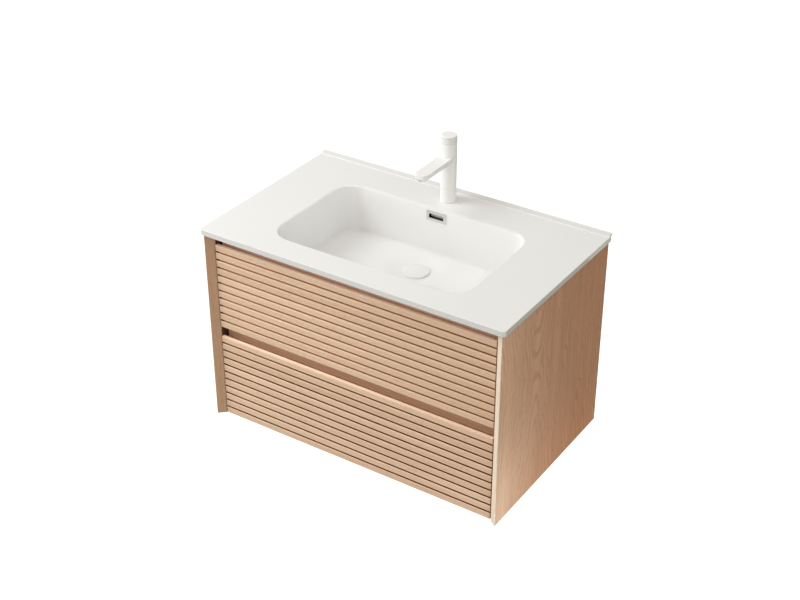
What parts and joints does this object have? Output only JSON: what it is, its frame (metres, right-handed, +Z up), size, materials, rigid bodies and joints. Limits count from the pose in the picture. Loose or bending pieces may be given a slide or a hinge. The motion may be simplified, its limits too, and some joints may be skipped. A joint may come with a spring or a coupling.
{
  "type": "floating vanity",
  "caption": "Wall-hung bathroom vanity: ceramic basin worktop with mixer tap on an oak cabinet whose slatted-front drawers pull out.",
  "frame": {"origin": "middle of the wall-fixing holes, on the wall face, 440 mm above the cabinet's underside", "axes": "+X along the wall, to the right for someone facing the vanity; +Y into the wall, so the drawers open towards -Y; +Z up"},
  "size_m": [0.8, 0.515, 0.683],
  "materials": {
    "ceramic": "glossy white glaze",
    "chrome": "polished",
    "tap_white": "matt white",
    "black_rubber": "matt black",
    "white_plastic": "white, slightly glossy",
    "steel": "zinc plated",
    "panel_oak": "upright oak grain, matt",
    "front_oak": "light oak, grain along the slats, matt",
    "groove_oak": "oak, shaded",
    "rail_oak": "dark oak, matt",
    "dowel_beech": "plain beech",
    "black_plastic": "matt black",
    "box_board": "laminated board, light grey-beige",
    "grey_plastic": "matt grey"
  },
  "bodies": {
    "cabinet": {"basin_plate": "ceramic", "basin_bowl": "ceramic", "basin_duct": "ceramic", "overflow_frame": "chrome", "waste_body": "chrome", "waste_seal": "black_rubber", "waste_backnut": "white_plastic", "trap_tailpiece": "white_plastic", "trap_bottle": "white_plastic", "trap_cup": "white_plastic", "trap_nuts": "white_plastic", "trap_outlet_pipe": "white_plastic", "wall_rosette": "white_plastic", "tap_body": "tap_white", "tap_core": "steel", "tap_inlets": "steel", "tap_spout": "tap_white", "tap_aerator": "chrome", "tap_cartridge": "white_plastic", "tap_gasket": "black_rubber", "tap_stud": "steel", "tap_clamp_washer": "steel", "tap_nut": "steel", "side_panel_left": "panel_oak", "side_panel_right": "panel_oak", "bottom_panel": "panel_oak", "front_rails": "rail_oak", "rail_end_caps": "black_plastic", "back_rails": "panel_oak", "panel_dowels": "dowel_beech", "cam_fittings": "steel", "front_buffers": "black_rubber", "hanger_bodies": "black_plastic", "hanger_hooks": "steel", "hanger_screws": "steel", "wall_plates": "steel", "upper_runner_outers": "steel", "lower_runner_outers": "steel", "runner_screws": "steel"},
    "upper_drawer": {"upper_runner_inners": "steel", "upper_front_board": "groove_oak", "upper_front_slats": "front_oak", "upper_box_sides": "box_board", "upper_box_ends": "box_board", "upper_box_floor": "box_board", "upper_trap_surround": "grey_plastic", "upper_drawer_screws": "steel"},
    "upper_runner_mid": {"upper_runner_middles": "steel", "upper_ball_cages": "black_plastic"},
    "lower_drawer": {"lower_runner_inners": "steel", "lower_front_board": "groove_oak", "lower_front_slats": "front_oak", "lower_box_sides": "box_board", "lower_box_ends": "box_board", "lower_box_floor": "box_board", "lower_drawer_screws": "steel"},
    "lower_runner_mid": {"lower_runner_middles": "steel", "lower_ball_cages": "black_plastic"},
    "tap_top": {"tap_handle": "tap_white"},
    "drain_plug": {"waste_cap": "tap_white"}
  },
  "joints": [
    {"name": "upper_drawer_slide", "type": "slide", "parent": "cabinet", "child": "upper_drawer", "axis": [0, -1, 0], "range_m": [0, 0.38]},
    {"name": "upper_runner_slide", "type": "slide", "parent": "cabinet", "child": "upper_runner_mid", "axis": [0, -1, 0], "range_m": [0, 0.19]},
    {"name": "lower_drawer_slide", "type": "slide", "parent": "cabinet", "child": "lower_drawer", "axis": [0, -1, 0], "range_m": [0, 0.38]},
    {"name": "lower_runner_slide", "type": "slide", "parent": "cabinet", "child": "lower_runner_mid", "axis": [0, -1, 0], "range_m": [0, 0.19]},
    {"name": "tap_top_turn", "type": "hinge", "parent": "cabinet", "child": "tap_top", "pos_m": [0, -0.059, 0.21], "axis": [0, 0, 1], "range_deg": [0, 95]},
    {"name": "drain_plug_lift", "type": "slide", "parent": "cabinet", "child": "drain_plug", "axis": [0, 0, 1], "range_m": [0, 0.008]}
  ],
  "couplings": [
    {"joint": "upper_runner_slide", "follows": "upper_drawer_slide", "ratio": 0.5},
    {"joint": "lower_runner_slide", "follows": "lower_drawer_slide", "ratio": 0.5}
  ]
}
